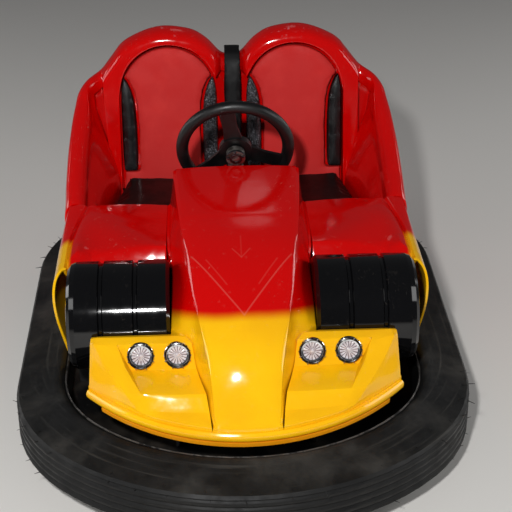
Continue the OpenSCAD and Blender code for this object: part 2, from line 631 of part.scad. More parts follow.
// Seat furniture
box_plan = [[418, box_front], [418, 400], [400, 470], [362, 545]];
box_hollow = [[412, box_front + 6], [412, 399], [394.5, 468], [358, 539]];
function both(half) = concat(half, [for (k = [len(half) - 1 : -1 : 0]) [-half[k][0], half[k][1]]]);
module seat_box() {
    color([0.05, 0.05, 0.05]) difference() {
        translate([0, 0, floor_z]) linear_extrude(box_top - floor_z)
            polygon(both(box_plan));
        translate([0, 0, floor_z - 1]) linear_extrude(box_top - floor_z - 5)
            polygon(both(box_hollow));
    }
}
cushion_in = 26;
cushion_end = 460;
module cushion(s) {
    color([0.04, 0.04, 0.04]) translate([0, 0, cushion_z - cushion_t]) linear_extrude(cushion_t)
        polygon([for (p = [[cushion_in, box_front + 6], [cushion_in + 8, box_front - 4], [362, box_front - 4],
                           [374, box_front + 8], [369, 260], [357, 335], [341, 420], [335, 438],
                           [332, cushion_end], [cushion_in, cushion_end]])
                 [s * p[0], p[1]]]);
}
module cushion_left() {
    cushion(-1);
}
module cushion_right() {
    cushion(1);
}

// Seat backs lie in a plane that leans back: x across, y up the plane, z out of it
pad_t = 34;
pad_low = -66;
module in_back(s) {
    translate([s * hump_x, back_y, back_base]) rotate([90 - back_lean, 0, 0]) children();
}
module arch() {
    translate([0, arch_c]) circle(arch_r, $fn = 72);
    translate([-arch_r, pad_low]) square([2 * arch_r, arch_c - pad_low]);
}
bolster = [[150, 0], [101, 0], [100, 150], [103, 212], [110, 250], [122, 280], [139, 300], [150, 304]];
module back_pad(s) {
    color([0.62, 0.05, 0.05]) in_back(s) linear_extrude(pad_t)
        difference() {
            arch();
            for (m = [-1, 1]) polygon([for (p = bolster) [m * (p[0] - seam), p[1] == 0 ? -1 : p[1] + seam]]);
        }
}
module bolster_pair(s) {
    color([0.04, 0.04, 0.04]) in_back(s) linear_extrude(pad_t + 8)
        intersection() {
            arch();
            for (m = [-1, 1]) polygon([for (p = bolster) [m * p[0], p[1]]]);
        }
}
module back_pad_left() {
    back_pad(-1);
}
module back_pad_right() {
    back_pad(1);
}
module bolsters() {
    for (s = [-1, 1]) bolster_pair(s);
}
spine_w = 54;
spine_x = 4;
module centre_spine() {
    color([0.04, 0.04, 0.04])
        translate([spine_x - spine_w / 2, 0, 0]) rotate([90, 0, 90]) linear_extrude(spine_w)
        polygon([[back_y - 43, back_base], [back_y, back_base], [plane_y(728) - 2 * seam, 728], [525, 738],
                 [525, 768], [535, 792], [562, 800], [588, 800], [588, 809], [562, 811], [530, 803], [510, 780],
                 [496, 735]]);
}

// Footwell: bulkhead behind the dummy wheels, rubber mat and pedal
bulk_y = deck_front + 4;
bulk_top = 424;
module bulkhead() {
    color([0.05, 0.05, 0.05]) translate([0, bulk_y + 10, 0]) rotate([90, 0, 0]) linear_extrude(5)
        difference() {
            polygon([[-448, floor_z], [448, floor_z], [460, 300], [460, bulk_top],
                     [-460, bulk_top], [-460, 300]]);
            translate([0, 406]) circle(38);
            translate([-box_x - 10, floor_z - 1]) square([2 * box_x + 20, box_z + 8 - floor_z]);
        }
}
mat_x = 376;
module floor_mat() {
    color([0.08, 0.08, 0.08]) translate([-mat_x, box_y - drive_y + 2, floor_z])
        cube([2 * mat_x, box_front - box_y + drive_y - 8, 4]);
}
module pedal() {
    color([0.3, 0.3, 0.32]) {
        translate([-300, -136, floor_z + 4]) cube([90, 70, 8]);
        translate([-296, -70, floor_z + 10]) rotate([145, 0, 0]) translate([0, 0, -8]) cube([82, 110, 8]);
        translate([-265, -120, floor_z + 10]) cube([20, 12, 30]);
    }
}
module battery() {
    color([0.2, 0.2, 0.22]) translate([-180, 210, floor_z]) cube([360, 180, 225]);
}

// Lamps: bezel with a notched chrome ring, and a lens; the face leans as the nose does
lamp_lean = atan2(18, 66);
module lamp_frame(x) {
    translate([x, -527, 385.6]) rotate([90 - lamp_lean, 0, 0]) children();
}
module bezel(x) {
    color([0.8, 0.8, 0.82]) lamp_frame(x) difference() {
        rotate_extrude($fn = 64)
            polygon([[23, 0], [lamp_d / 2 - 2, 0], [lamp_d / 2, 3], [lamp_d / 2 - 1, 9], [30, 12],
                     [27, 8], [23, 7]]);
        for (a = [0 : 45 : 315]) rotate([0, 0, a]) translate([30.5, -2, 7]) cube([6, 4, 8]);
    }
}
module lens(x) {
    color([0.9, 0.92, 0.95]) lamp_frame(x) translate([0, 0, 0.5])
        rotate_extrude($fn = 64) polygon([[0, 0], [22.7, 0], [22.7, 7], [18, 11], [8, 14], [0, 14.5]]);
}
lamp_xs = [-lamp_x_out, -lamp_x_in, lamp_x_in, lamp_x_out];
module lamp_bezels() {
    for (x = lamp_xs) bezel(x);
}
module lamp_lenses() {
    for (x = lamp_xs) lens(x);
}

bumper_tyre();
bumper_rim();
floor_pan();
frame_rails();
frame_cross();
rear_axle();
rear_tyre_left();
rear_tyre_right();
rear_hub_left();
rear_hub_right();
drive_fork();
drive_motor();
drive_tyre();
drive_hub();
drive_mount();
gear_head();
column_jacket();
steering_wheel();
bonnet();
deck_left();
deck_right();
nose_left();
nose_right();
nose_lip();
nose_apron();
dummy_wheel_left();
dummy_wheel_right();
seat_shell();
seat_box();
cushion_left();
cushion_right();
back_pad_left();
back_pad_right();
bolsters();
centre_spine();
bulkhead();
floor_mat();
pedal();
battery();
lamp_bezels();
lamp_lenses();
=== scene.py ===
# %% [markdown]
# A two-seat ride bumper car. The moulded body, the rubber bumper, the wheels and the steering come from the packed
# CAD model, which is a fixed frame here. This file gives each surface its finish, and adds what a drawing of solids
# can't say: crowned vinyl pads, lamp lenses with their petals, the bumper's vent hairs, bolts and ribs.

# %% Load the frame and keep its size
import math
import random
import bpy
import bmesh
import numpy as np
from mathutils import Matrix, Vector


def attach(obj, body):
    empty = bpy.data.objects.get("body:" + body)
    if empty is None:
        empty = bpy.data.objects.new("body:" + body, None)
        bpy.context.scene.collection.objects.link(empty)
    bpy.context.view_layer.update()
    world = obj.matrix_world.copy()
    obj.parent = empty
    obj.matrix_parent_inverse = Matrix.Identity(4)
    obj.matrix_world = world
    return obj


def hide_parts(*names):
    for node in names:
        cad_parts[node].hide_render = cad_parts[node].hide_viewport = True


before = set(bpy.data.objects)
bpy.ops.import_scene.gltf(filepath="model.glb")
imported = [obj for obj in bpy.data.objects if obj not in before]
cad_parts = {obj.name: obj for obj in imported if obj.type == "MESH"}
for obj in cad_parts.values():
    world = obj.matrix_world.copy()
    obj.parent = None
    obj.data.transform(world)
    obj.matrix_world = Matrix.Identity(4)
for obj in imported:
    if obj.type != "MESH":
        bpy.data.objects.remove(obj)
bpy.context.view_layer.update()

# %% [markdown]
# The camera stands where the photographer did: above the nose, a little to the left, looking down at the seats.
# It is set from a position and three angles, so that its matrix can be read as a person would say it.

# %% Camera
EYE = Vector((-0.08464, -3.52133, 2.19997))
YAW, PITCH, ROLL = 0.0383159, 0.4763698, 0.0109203
ahead = Vector((math.sin(YAW) * math.cos(PITCH), math.cos(YAW) * math.cos(PITCH), -math.sin(PITCH)))
level = Vector((math.cos(YAW), -math.sin(YAW), 0))
down = ahead.cross(level)
right = math.cos(ROLL) * level + math.sin(ROLL) * down
up = math.sin(ROLL) * level - math.cos(ROLL) * down
camera_data = bpy.data.cameras.new("camera")
camera_data.sensor_width = 36
camera_data.lens = 98.96
camera = bpy.data.objects.new("camera", camera_data)
bpy.context.scene.collection.objects.link(camera)
camera.matrix_world = Matrix(((right.x, up.x, -ahead.x, EYE.x), (right.y, up.y, -ahead.y, EYE.y),
                              (right.z, up.z, -ahead.z, EYE.z), (0, 0, 0, 1)))
bpy.context.scene.camera = camera
print("camera looks down", round(math.degrees(PITCH), 1), "degrees")

# %% [markdown]
# Operators act on whatever is selected, so each step starts by selecting one object only. These small helpers do
# what the hand does in the viewport: pick an object, go into edit mode, pick faces or edges by their place.

# %% Helpers for picking
def pick(obj):
    if bpy.context.object and bpy.context.object.mode != "OBJECT":
        bpy.ops.object.mode_set(mode="OBJECT")
    bpy.ops.object.select_all(action="DESELECT")
    obj.select_set(True)
    bpy.context.view_layer.objects.active = obj
    return obj


def edit_all(obj, kind="VERT"):
    pick(obj)
    bpy.ops.object.mode_set(mode="EDIT")
    bpy.ops.mesh.select_mode(type=kind)
    bpy.ops.mesh.select_all(action="SELECT")


def edit_where(obj, kind, test):
    """Edit mode with only the vertices, edges or faces whose centre and normal pass the test."""
    edit_all(obj, kind)
    bpy.ops.mesh.select_all(action="DESELECT")
    bm = bmesh.from_edit_mesh(obj.data)
    bm.normal_update()
    if kind == "FACE":
        for f in bm.faces:
            f.select_set(bool(test(f.calc_center_median(), f.normal)))
    elif kind == "EDGE":
        for e in bm.edges:
            e.select_set(bool(test((e.verts[0].co + e.verts[1].co) / 2, e)))
    else:
        for v in bm.verts:
            v.select_set(bool(test(v.co, v.normal)))
    bm.select_flush_mode()
    bmesh.update_edit_mesh(obj.data)


def done(obj):
    bpy.ops.object.mode_set(mode="OBJECT")
    pick(obj)


def settle(obj, name):
    """The finished piece's place goes into its mesh, so its object sits at the origin."""
    pick(obj)
    bpy.ops.object.transform_apply(location=True, rotation=True, scale=True)
    obj.name = name
    obj.data.name = name
    return obj


def twin(obj, name, matrix):
    """A copy with its own mesh, moved by a matrix; a mirrored one gets its faces turned back."""
    copy = bpy.data.objects.new(name, obj.data.copy())
    bpy.context.scene.collection.objects.link(copy)
    copy.data.transform(matrix)
    if matrix.determinant() < 0:
        copy.data.flip_normals()
    return copy


def join(parts, name):
    pick(parts[0])
    for p in parts:
        p.select_set(True)
    if len(parts) > 1:
        bpy.ops.object.join()
    return settle(bpy.context.object, name)


def smooth(obj, angle=35):
    pick(obj)
    bpy.ops.object.shade_smooth_by_angle(angle=math.radians(angle))


MIRROR = Matrix.Scale(-1, 4, (1, 0, 0))
print("helpers for picking, joining and mirroring are ready")

# %% [markdown]
# The body panels come from the CAD as plain facets. A gloss coat shows every facet, so each panel gets a copy in
# which the facets are joined again to squares, rounded by subdivision, and kept crisp where the real mould has an
# edge. A small bevel then gives those edges the soft highlight that every laid-up moulding has.

# %% Rounded copies of the moulded panels
def rounded(node, name, sharp=32, levels=2, edge_mm=1.2):
    """A smooth copy of a CAD node; edges sharper than the angle stay crisp and get a bevel."""
    obj = bpy.data.objects.new(name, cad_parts[node].data.copy())
    bpy.context.scene.collection.objects.link(obj)
    edit_all(obj, "EDGE")
    bpy.ops.mesh.remove_doubles(threshold=0.00005)
    bpy.ops.mesh.tris_convert_to_quads(face_threshold=math.radians(35), shape_threshold=math.radians(70))
    bpy.ops.mesh.select_all(action="DESELECT")
    bpy.ops.mesh.edges_select_sharp(sharpness=math.radians(sharp))
    bpy.ops.transform.edge_crease(value=1.0)
    done(obj)
    if levels:
        mod = obj.modifiers.new("round", "SUBSURF")
        mod.levels = mod.render_levels = levels
        bpy.ops.object.modifier_apply(modifier="round")
    if edge_mm:
        mod = obj.modifiers.new("edge", "BEVEL")
        mod.width = edge_mm / 1000
        mod.segments = 2
        mod.angle_limit = math.radians(sharp)
        bpy.ops.object.modifier_apply(modifier="edge")
    smooth(obj, 40)
    obj.data.name = name
    print(name, len(obj.data.polygons), "faces")
    return obj


# %% [markdown]
# Every finish is a small network of nodes on top of the main shader. One function adds a node, sets it and links
# it, and one turns an sRGB colour, as a paint card gives it, into the linear numbers that the shader works in.

# %% Helpers for finishes
def ink(code):
    """The linear colour of an sRGB hex code."""
    out = []
    for k in (0, 2, 4):
        c = int(code[k:k + 2], 16) / 255
        out.append(c / 12.92 if c <= 0.04045 else ((c + 0.055) / 1.055) ** 2.4)
    return (*out, 1.0)


def add(mat, kind, inputs=None, **settings):
    """A new node with its settings; an input is a value or another node's socket."""
    n = mat.node_tree.nodes.new(kind)
    for key, value in settings.items():
        setattr(n, key, value)
    for key, value in (inputs or {}).items():
        if isinstance(value, bpy.types.NodeSocket):
            mat.node_tree.links.new(value, n.inputs[key])
        else:
            n.inputs[key].default_value = value
    return n


def finish_of(name, **base):
    """A new material; returns it, its main shader and the Object coordinates."""
    mat = bpy.data.materials.new(name)
    mat.use_nodes = True
    shader = mat.node_tree.nodes["Principled BSDF"]
    for key, value in base.items():
        shader.inputs[key.replace("_", " ")].default_value = value
    place = add(mat, "ShaderNodeTexCoord").outputs["Object"]
    return mat, shader, place


def link(mat, source, target):
    mat.node_tree.links.new(source, target)


def noise(mat, place, per_metre, detail=3.0, rough=0.5, stretch=(1, 1, 1)):
    """Noise with so many spots to a metre; stretch squeezes it along an axis."""
    moved = add(mat, "ShaderNodeMapping", {"Vector": place, "Scale": stretch}).outputs[0]
    return add(mat, "ShaderNodeTexNoise", {"Vector": moved, "Scale": per_metre, "Detail": detail,
                                           "Roughness": rough}).outputs["Fac"]


def ramp(mat, value, low, high, to_low=0.0, to_high=1.0):
    return add(mat, "ShaderNodeMapRange", {"Value": value, 1: low, 2: high, 3: to_low, 4: to_high},
               interpolation_type="SMOOTHSTEP").outputs[0]


def blend_of(mat, fac, a, b):
    return add(mat, "ShaderNodeMix", {0: fac, 6: a, 7: b}, data_type="RGBA").outputs[2]


def relief(mat, shader, height, strength, depth_mm):
    bump = add(mat, "ShaderNodeBump", {"Height": height, "Strength": strength, "Distance": depth_mm / 1000})
    link(mat, bump.outputs[0], shader.inputs["Normal"])


def dress(mat, *names):
    """A finish for CAD nodes that show as they are."""
    for n in names:
        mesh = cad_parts[n].data
        mesh.materials.clear()
        mesh.materials.append(mat)
    print(mat.name, "on", ", ".join(names))


def dress_piece(obj, mat, body, slot, *nodes):
    """A finish for a new piece, which rides a body and may stand for CAD nodes."""
    obj.data.materials.clear()
    obj.data.materials.append(mat)
    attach(obj, body)
    if nodes:
        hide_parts(*nodes)


print("mid grey as light", round(ink("808080")[0], 3))

# %% [markdown]
# Red meets yellow where two spray guns overlapped: the edge is soft, nearly straight and lies in a slanted plane
# across the car. So the blend is a distance from that plane, with a little noise. On the decks only the outer side is
# yellow, so there the inner part is kept red.

# %% Panel colours
RED, RED_DEEP, YELLOW, ORANGE = "D60302", "C80202", "FFC20E", "F5A21C"
BONNET_BLEND = (-0.544, 0.497, 0.422, 0.907, 0.016)
DECK_BLEND = (-0.060, 0.424, 0.883, 0.469, 0.020)
DECK_SIDE = (0.447, 0.462)


def slant(mat, place, y, z, ny, nz):
    """Signed distance in metres from a plane across the car, through (y, z) with the normal (ny, nz)."""
    axes = add(mat, "ShaderNodeSeparateXYZ", {0: place}).outputs
    a = add(mat, "ShaderNodeMath", {0: axes[1], 1: ny, 2: -(y * ny + z * nz)}, operation="MULTIPLY_ADD").outputs[0]
    return add(mat, "ShaderNodeMath", {0: axes[2], 1: nz, 2: a}, operation="MULTIPLY_ADD").outputs[0]


def red_plain(mat, place):
    return blend_of(mat, noise(mat, place, 5, 2), ink(RED), ink(RED_DEEP))


def yellow_plain(mat, place):
    return blend_of(mat, ramp(mat, noise(mat, place, 6, 3), 0.35, 0.7), ink(YELLOW), ink("FBB80F"))


def red_to_yellow(y, z, ny, nz, width, only_side=False):
    """A colour function: red behind the plane, yellow before it, blended over the width."""
    def colour(mat, place):
        dist = slant(mat, place, y, z, ny, nz)
        wander = add(mat, "ShaderNodeMath", {0: noise(mat, place, 8, 2, 0.5), 1: 0.012, 2: dist},
                     operation="MULTIPLY_ADD").outputs[0]
        fac = ramp(mat, wander, 0.006 - width, 0.006 + width)
        if only_side:
            x = add(mat, "ShaderNodeSeparateXYZ", {0: place}).outputs[0]
            side = add(mat, "ShaderNodeMath", {0: x}, operation="ABSOLUTE").outputs[0]
            inner = ramp(mat, side, *DECK_SIDE, 1, 0)
            fac = add(mat, "ShaderNodeMath", {0: fac, 1: inner}, operation="MAXIMUM").outputs[0]
        return blend_of(mat, fac, yellow_plain(mat, place), red_plain(mat, place))
    return colour


print("red", RED, "is", [round(c, 3) for c in ink(RED)], "as light")

# %% [markdown]
# The body is glass-fibre reinforced polyester laid up in a mould. Its outer coat, the gelcoat, is a thick, strongly
# coloured gloss layer, so the finish is a saturated base under one clear reflection, with very slight waves from
# the hand lay-up and fine scratches from use. A scratch is long and thin: noise stretched 30 times along one
# direction. On the crests of the seats, where hands rest and covers rub, the gloss is scuffed to a pale bloom.
# The bonnet also has faint folds: a wide V with a short one beside it, and a small V on a line down the middle. Each
# fold is a slight ridge with a thin paler line along it, which is a painted highlight. A fold is drawn by its distance
# from a line, which a few vector steps work out.

# %% Distance from a line on the plan
def from_line(mat, place, start, end):
    """Distance in metres from a line on the plan and its mirror image; start and end are (|x|, y, 0)."""
    axes = add(mat, "ShaderNodeSeparateXYZ", {0: place}).outputs
    side = add(mat, "ShaderNodeMath", {0: axes[0]}, operation="ABSOLUTE").outputs[0]
    spot = add(mat, "ShaderNodeCombineXYZ", {0: side, 1: axes[1]}).outputs[0]
    span = end - start
    away = add(mat, "ShaderNodeVectorMath", {0: spot, 1: start}, operation="SUBTRACT").outputs[0]
    along = add(mat, "ShaderNodeVectorMath", {0: away, 1: span / span.length_squared},
                operation="DOT_PRODUCT").outputs["Value"]
    share = add(mat, "ShaderNodeClamp", {0: along}).outputs[0]
    foot = add(mat, "ShaderNodeVectorMath", {0: span, "Scale": share}, operation="SCALE").outputs[0]
    rest = add(mat, "ShaderNodeVectorMath", {0: away, 1: foot}, operation="SUBTRACT").outputs[0]
    return add(mat, "ShaderNodeVectorMath", {0: rest}, operation="LENGTH").outputs["Value"]


# Two ends on the plan and how strongly the fold's ridge and painted highlight show
FOLDS = (((0.128, -0.345, 0), (0, -0.537, 0), 0.14), ((0.0901, -0.3645, 0), (0.040, -0.447, 0), 0.06),
         ((0.0226, -0.328, 0), (0, -0.360, 0), 0.07), ((0, -0.279, 0), (0, -0.360, 0), 0.04))
print("folds", [round((Vector(a) - Vector(b)).length * 1000) for a, b, clear in FOLDS], "mm long")

# %% [markdown]
# The coat itself takes a function for its colour, so that one recipe serves the plain and the blended panels. Its
# folds are the bonnet's faint creases: a thin paler line, a painted highlight, on a slight ridge.

# %% Gelcoat
def gelcoat(name, colour_of, rough=0.08, wear=1.0, scuffed_over=None, folds=()):
    mat, shader, place = finish_of(name, Roughness=rough, IOR=1.5)
    wave = noise(mat, place, 7, 2)
    # Two sets of scratches that cross, kept to some patches
    marks = []
    for turn, seed in ((0.5, 0.0), (-0.9, 3.1)):
        turned = add(mat, "ShaderNodeMapping", {"Vector": place, "Rotation": (0.3, 0.2, turn),
                                                "Location": (seed, 0, 0)}).outputs[0]
        marks.append(ramp(mat, noise(mat, turned, 26, 1, 0.5, (40, 1.2, 3)), 0.745, 0.765))
    both = add(mat, "ShaderNodeMath", {0: marks[0], 1: marks[1]}, operation="MAXIMUM").outputs[0]
    patch = ramp(mat, noise(mat, place, 9, 3), 0.5, 0.7)
    scratch = add(mat, "ShaderNodeMath", {0: both, 1: patch}, operation="MULTIPLY").outputs[0]
    colour = blend_of(mat, ramp(mat, noise(mat, place, 60, 4), 0.62, 0.9, 0, 0.06 * wear), colour_of(mat, place),
                      ink("D8C8B8"))
    colour = blend_of(mat, ramp(mat, scratch, 0, 1, 0, 0.22 * wear), colour, ink("E8D8C8"))
    gloss = ramp(mat, noise(mat, place, 35, 4), 0.3, 0.8, rough, rough + 0.08 * wear)
    if scuffed_over:
        high = add(mat, "ShaderNodeSeparateXYZ", {0: place}).outputs[2]
        zone = ramp(mat, high, scuffed_over, scuffed_over + 0.035)
        spots = ramp(mat, noise(mat, place, 55, 6, 0.7), 0.56, 0.72)
        bloom = add(mat, "ShaderNodeMath", {0: zone, 1: spots}, operation="MULTIPLY").outputs[0]
        colour = blend_of(mat, ramp(mat, bloom, 0, 1, 0, 0.42), colour, ink("E3B4BC"))
        gloss = add(mat, "ShaderNodeMath", {0: bloom, 1: 0.35, 2: gloss}, operation="MULTIPLY_ADD").outputs[0]
    # A fold: a painted highlight, a thin paler line along the crease, on a slight ridge in the relief
    for start, end, clear in folds:
        away = from_line(mat, place, Vector(start), Vector(end))
        colour = blend_of(mat, ramp(mat, away, 0.0004, 0.0030, clear, 0), colour, ink("F4A090"))
        wave = add(mat, "ShaderNodeMath", {0: ramp(mat, away, 0, 0.010, 1, 0), 1: 8 * clear, 2: wave},
                   operation="MULTIPLY_ADD").outputs[0]
    link(mat, colour, shader.inputs["Base Color"])
    link(mat, gloss, shader.inputs["Roughness"])
    relief(mat, shader, wave, 0.3, 1.2)
    return mat


bonnet_coat = gelcoat("gelcoat_red_sprayed_to_yellow", red_to_yellow(*BONNET_BLEND), folds=FOLDS)
deck_coat = gelcoat("gelcoat_red_deck", red_to_yellow(*DECK_BLEND, only_side=True))
red_coat = gelcoat("gelcoat_red", red_plain, scuffed_over=0.835)
yellow_coat = gelcoat("gelcoat_yellow", yellow_plain)
apron_coat = gelcoat("gelcoat_orange_apron",
                     lambda mat, place: blend_of(mat, noise(mat, place, 5), ink(ORANGE), ink("E89208")))
black_coat = gelcoat("gelcoat_black_wheels",
                     lambda mat, place: blend_of(mat, noise(mat, place, 6), ink("060607"), ink("0B0B0D")), 0.06, 0.4)
coats = (bonnet_coat, deck_coat, red_coat, yellow_coat, apron_coat, black_coat)
print("coats:", ", ".join(coat.name for coat in coats))

# %% [markdown]
# Each panel gets its coat on a rounded copy. The dummy wheels are turned solids, smooth as they are. An edge counts as
# crisp from 24 to 40 degrees, depending on how sharply that panel's mould is cut.

# %% Coats on the panels
dress(black_coat, "dummy_wheel_left", "dummy_wheel_right")
for node, mat, slot, sharp, edge_mm in (
        ("bonnet", bonnet_coat, "gelcoat_red", 32, 1.2), ("deck_left", deck_coat, "gelcoat_red", 32, 1.2),
        ("deck_right", deck_coat, "gelcoat_red", 32, 1.2), ("seat_shell", red_coat, "gelcoat_red", 40, 1.2),
        ("nose_left", yellow_coat, "gelcoat_yellow", 24, 1.2), ("nose_right", yellow_coat, "gelcoat_yellow", 24, 1.2),
        ("nose_lip", yellow_coat, "gelcoat_yellow", 32, 1.0), ("nose_apron", apron_coat, "gelcoat_yellow", 32, 0.8)):
    dress_piece(rounded(node, node + "_skin", sharp, 2, edge_mm), mat, "root", slot, node)

# %% [markdown]
# The bumper is a carbon-black rubber tyre. Rubber scatters light at a broad angle, and its face is greyed by floor
# dust that gathers on what faces up. Rubbed streaks run along the bumper, so their noise is squeezed across it: it
# reads the distance from the line between the two end arcs' centres, 40 times finer than the way round.

# %% Bumper rubber and road tyres
RING_A, RING_B, CORNER_R, END_R = 0.865, 0.600, 0.478, 0.645
END_Y = RING_A - END_R


def rubber(name, dark, dust, amount, grain_mm=0.9, oval_y=None):
    """Rubber under dust; oval_y is where an oval's end arcs have their centre, for streaks that run along it."""
    mat, shader, place = finish_of(name, Roughness=0.62, IOR=1.45)
    shader.inputs["Specular IOR Level"].default_value = 0.35
    up_face = add(mat, "ShaderNodeSeparateXYZ", {0: add(mat, "ShaderNodeNewGeometry").outputs["Normal"]}).outputs[2]
    cloudy = noise(mat, place, 5, 6, 0.6)
    settled = add(mat, "ShaderNodeMath", {0: ramp(mat, up_face, 0.5, 1.0, 0.15, 1.0),
                                          1: ramp(mat, cloudy, 0.42, 0.8)}, operation="MULTIPLY").outputs[0]
    scuff = ramp(mat, noise(mat, place, 45, 5, 0.7, (1, 1, 6)), 0.6, 0.85, 0, 0.7)
    if oval_y:
        axes = add(mat, "ShaderNodeSeparateXYZ", {0: place}).outputs
        far = add(mat, "ShaderNodeMath", {0: axes[1]}, operation="ABSOLUTE").outputs[0]
        past = add(mat, "ShaderNodeMath", {0: far, 1: oval_y}, operation="SUBTRACT").outputs[0]
        end = add(mat, "ShaderNodeMath", {0: past, 1: 0.0}, operation="MAXIMUM").outputs[0]
        across = add(mat, "ShaderNodeCombineXYZ", {0: axes[0], 1: end}).outputs[0]
        reach = add(mat, "ShaderNodeVectorMath", {0: across}, operation="LENGTH").outputs["Value"]
        round_it = add(mat, "ShaderNodeCombineXYZ", {0: axes[0], 1: axes[1], 2: reach}).outputs[0]
        streak = ramp(mat, noise(mat, round_it, 2.2, 5, 0.65, (1, 1, 40)), 0.52, 0.8, 0, 0.9)
        scuff = add(mat, "ShaderNodeMath", {0: scuff, 1: streak}, operation="MAXIMUM").outputs[0]
    dusty = add(mat, "ShaderNodeMath", {0: settled, 1: scuff}, operation="MAXIMUM").outputs[0]
    share = add(mat, "ShaderNodeMath", {0: dusty, 1: amount}, operation="MULTIPLY").outputs[0]
    link(mat, blend_of(mat, share, ink(dark), ink(dust)), shader.inputs["Base Color"])
    link(mat, ramp(mat, noise(mat, place, 22, 4), 0.3, 0.75, 0.45, 0.7), shader.inputs["Roughness"])
    relief(mat, shader, noise(mat, place, 1000 / grain_mm, 3), 0.25, 0.6)
    return mat


bumper_rubber = rubber("rubber_bumper_dusty", "101010", "56534E", 0.5, oval_y=END_Y)
road_rubber = rubber("rubber_road_tyre", "121212", "5A5751", 0.5)
mat_rubber = rubber("rubber_floor_mat", "101011", "4C4944", 0.45)
dress_piece(rounded("bumper_tyre", "bumper_tyre_skin", 35, 0, 0), bumper_rubber, "root", "rubber_black", "bumper_tyre")
dress(mat_rubber, "floor_mat")

# %% [markdown]
# Steel shows in two ways: under satin black paint that is chipped to bare metal here and there, and bare, turned
# or rolled, on hubs and axles, where fine lines run round from the cutting tool. On the band inside the bumper, the
# top edge is rubbed bright above a height that the finish is given.

# %% Steel
def painted_steel(name, paint, rough=0.38, chips=0.06, bare_over=None):
    mat, shader, place = finish_of(name, Roughness=rough, IOR=1.5)
    chip = ramp(mat, noise(mat, place, 90, 6, 0.7), 0.70 - chips, 0.72)
    if bare_over:
        high = add(mat, "ShaderNodeSeparateXYZ", {0: place}).outputs[2]
        edge = ramp(mat, high, bare_over, bare_over + 0.0015)
        rubbed = ramp(mat, noise(mat, place, 22, 4, 0.6), 0.4, 0.55)
        worn = add(mat, "ShaderNodeMath", {0: edge, 1: rubbed}, operation="MULTIPLY").outputs[0]
        chip = add(mat, "ShaderNodeMath", {0: chip, 1: worn}, operation="MAXIMUM").outputs[0]
    soil = noise(mat, place, 14, 4)
    base = blend_of(mat, ramp(mat, soil, 0.4, 0.8, 0, 0.35), ink(paint), ink("4A4238"))
    link(mat, blend_of(mat, chip, base, ink("8A8580")), shader.inputs["Base Color"])
    link(mat, chip, shader.inputs["Metallic"])
    link(mat, ramp(mat, soil, 0.3, 0.8, rough, rough + 0.2), shader.inputs["Roughness"])
    relief(mat, shader, noise(mat, place, 500, 3), 0.2, 0.5)
    return mat


def bare_steel(name, colour, rust="6B543E"):
    mat, shader, place = finish_of(name, Roughness=0.34, Metallic=1.0)
    stain = ramp(mat, noise(mat, place, 40, 5, 0.65), 0.5, 0.75, 0, 0.5)
    link(mat, blend_of(mat, stain, ink(colour), ink(rust)), shader.inputs["Base Color"])
    link(mat, ramp(mat, noise(mat, place, 120, 3, 0.5, (1, 6, 6)), 0.3, 0.7, 0.24, 0.5), shader.inputs["Roughness"])
    relief(mat, shader, noise(mat, place, 700, 2, 0.5, (4, 1, 1)), 0.15, 0.3)
    return mat


frame_paint = painted_steel("steel_black_painted", "0D0D0E")
motor_paint = painted_steel("motor_enamel_grey", "33363A", 0.3, 0.03)
turned_steel = bare_steel("steel_turned", "A6A7AA")
blued_steel = bare_steel("steel_blued", "4C4C50", "1C1A19")
BAND_EDGE_Z = 0.2135
band_paint = painted_steel("steel_band_black", "101011", 0.3, 0.1, BAND_EDGE_Z)
dress(frame_paint, "floor_pan", "frame_rails", "frame_cross", "drive_mount", "drive_fork")
dress(band_paint, "column_jacket")
dress_piece(rounded("bumper_rim", "bumper_rim_skin", 35, 0, 0), band_paint, "root", "steel_black", "bumper_rim")
dress(motor_paint, "drive_motor", "gear_head")
dress(turned_steel, "rear_axle", "drive_hub", "rear_hub_left", "rear_hub_right", "pedal")

# %% [markdown]
# Moulded plastics: the steering wheel is soft polyurethane over a steel ring, almost matt, with a fine leather-like
# grain; the panels under the seat are plain black board; the battery case is ribbed polypropylene.

# %% Moulded plastics
def moulded(name, colour, lighter, rough, grain_mm):
    mat, shader, place = finish_of(name, Roughness=rough, IOR=1.49)
    link(mat, blend_of(mat, ramp(mat, noise(mat, place, 25, 4), 0.4, 0.8), ink(colour), ink(lighter)),
         shader.inputs["Base Color"])
    grain = add(mat, "ShaderNodeTexVoronoi", {"Vector": place, "Scale": 1000 / grain_mm}).outputs["Distance"]
    link(mat, ramp(mat, noise(mat, place, 30, 3), 0.3, 0.8, rough - 0.08, rough + 0.1), shader.inputs["Roughness"])
    relief(mat, shader, grain, 0.2, 0.4)
    return mat


grip_foam = moulded("polyurethane_grip", "060607", "0D0D0E", 0.44, 1.4)
black_board = moulded("board_black", "0B0B0B", "17171A", 0.6, 2.0)
case_plastic = moulded("polypropylene_case", "2B2B2E", "38383B", 0.5, 1.2)
dress(grip_foam, "steering_wheel")
dress(black_board, "seat_box", "bulkhead")
dress(case_plastic, "battery")

# %% [markdown]
# Where the steering shaft leaves its socket sits a worn, blued steel collar, and a domed nut holds the wheel on its
# shaft at the driver's side. Both are profiles spun round the steering axis, as a lathe would turn them.

# %% Steering collar and nut
WHEEL_LEAN, WHEEL_HUB = math.radians(19), (0, 0.110, 0.667)
steering_axis = Matrix.Translation(WHEEL_HUB) @ Matrix.Rotation(-math.pi / 2 + WHEEL_LEAN, 4, "X")


